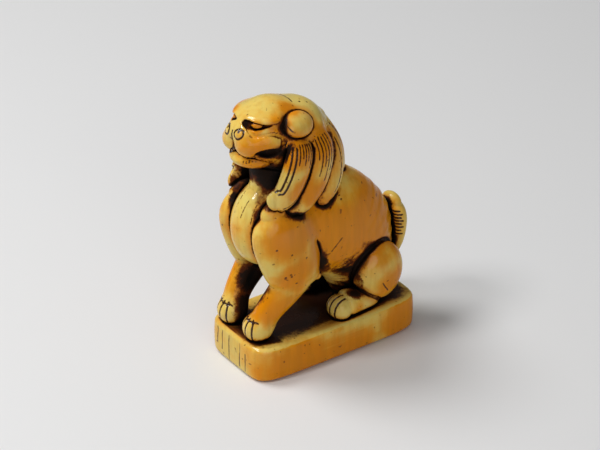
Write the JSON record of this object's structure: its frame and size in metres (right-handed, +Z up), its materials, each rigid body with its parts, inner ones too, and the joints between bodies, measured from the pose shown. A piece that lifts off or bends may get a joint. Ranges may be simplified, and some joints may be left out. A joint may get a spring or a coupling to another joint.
{
  "type": "netsuke",
  "caption": "Carved ivory toggle of a seated lion-dog with a long mane, on an oblong plinth with rounded edges.",
  "frame": {"origin": "middle of the plinth's flat underside, the face it stands on", "axes": "+Z up; the lion faces -Y and its left side is +X; the plinth's long sides run along Y"},
  "size_m": [0.0156, 0.0323, 0.046],
  "materials": {
    "ivory": "hand-polished old ivory, amber patina, brown-black stain in the recesses"
  },
  "bodies": {
    "root": {"netsuke": "ivory"}
  },
  "joints": []
}
